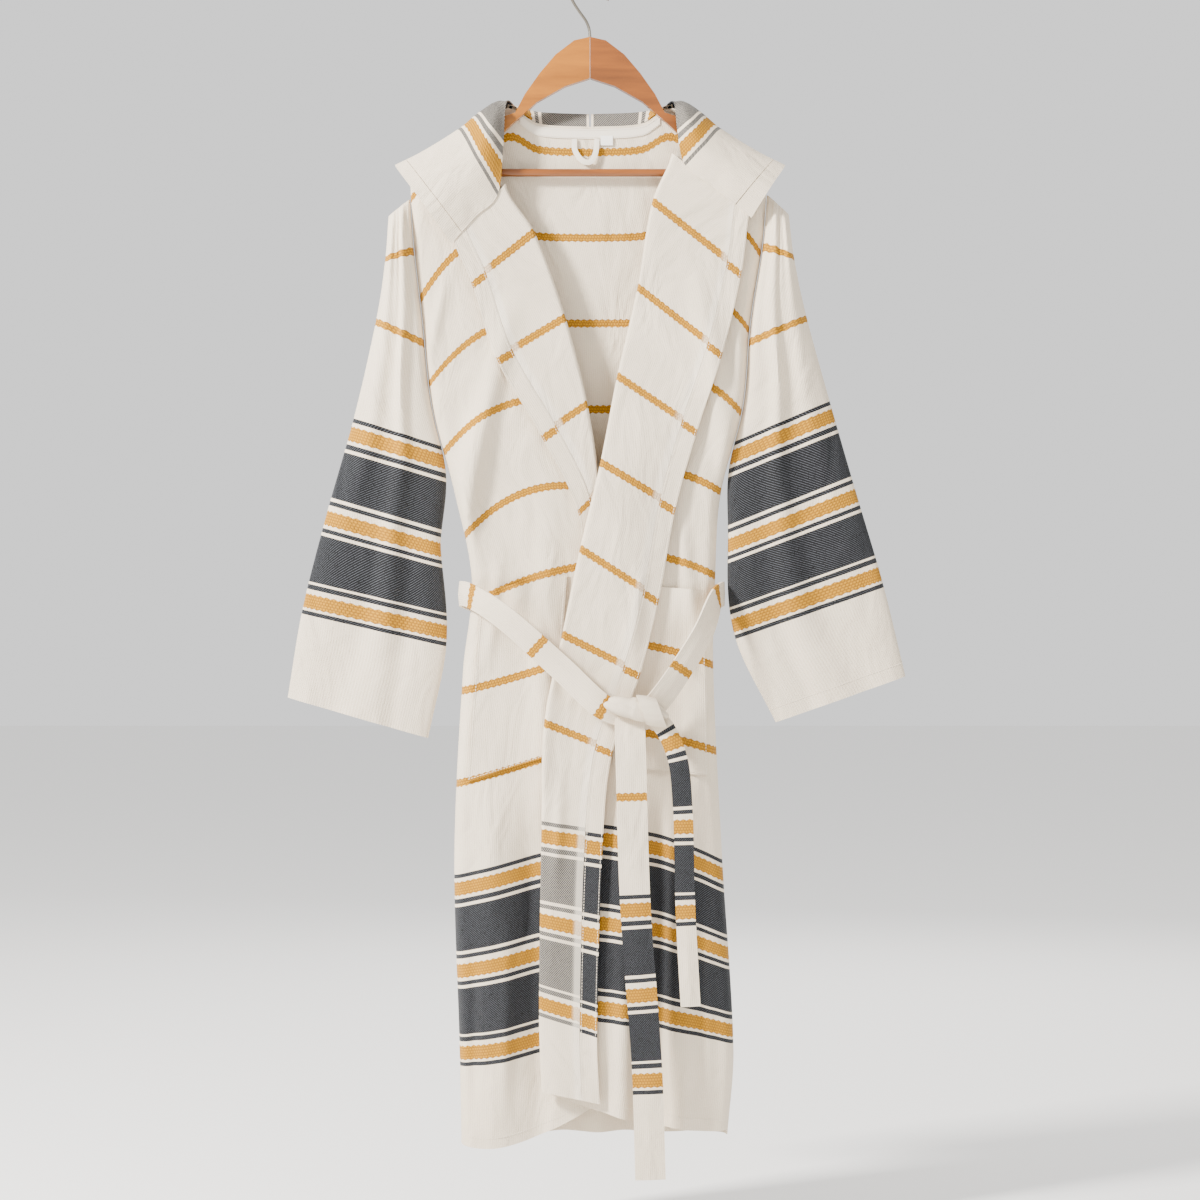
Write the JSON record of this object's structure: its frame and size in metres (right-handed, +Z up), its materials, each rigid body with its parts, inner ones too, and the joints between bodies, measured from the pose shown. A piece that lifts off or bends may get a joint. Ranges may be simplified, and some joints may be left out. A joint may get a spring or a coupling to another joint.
{
  "type": "hooded bathrobe on a wooden hanger",
  "caption": "Hooded cotton bathrobe, cream with gold and charcoal woven stripes, tied with its belt and hung on a wooden hanger with a wire hook.",
  "frame": {"origin": "inside top of the hook's bend, where the hanger hangs on a rail", "axes": "+Z up along the hanging robe, -Y out of the front of the robe, +X to the viewer's right"},
  "size_m": [0.7042, 0.1506, 1.3669],
  "materials": {
    "towel_cloth": "matte",
    "cotton_tape": "matte",
    "honey_wood": "satin",
    "brown_wood": "satin",
    "hook_steel": "satin"
  },
  "bodies": {
    "root": {"back_panel": "towel_cloth", "left_front": "towel_cloth", "right_front": "towel_cloth", "left_front_band": "towel_cloth", "right_front_band": "towel_cloth", "left_sleeve": "towel_cloth", "right_sleeve": "towel_cloth", "left_hood": "towel_cloth", "right_hood": "towel_cloth", "left_hood_band": "towel_cloth", "right_hood_band": "towel_cloth", "left_pocket": "towel_cloth", "right_pocket": "towel_cloth", "belt_round": "towel_cloth", "belt_knot": "towel_cloth", "belt_long_end": "towel_cloth", "belt_short_end": "towel_cloth", "neck_tape": "cotton_tape", "hanging_loop": "cotton_tape", "size_label": "cotton_tape", "left_hanger_arm": "honey_wood", "right_hanger_arm": "brown_wood", "hanger_bar": "brown_wood", "hanger_hook": "hook_steel"}
  },
  "joints": []
}
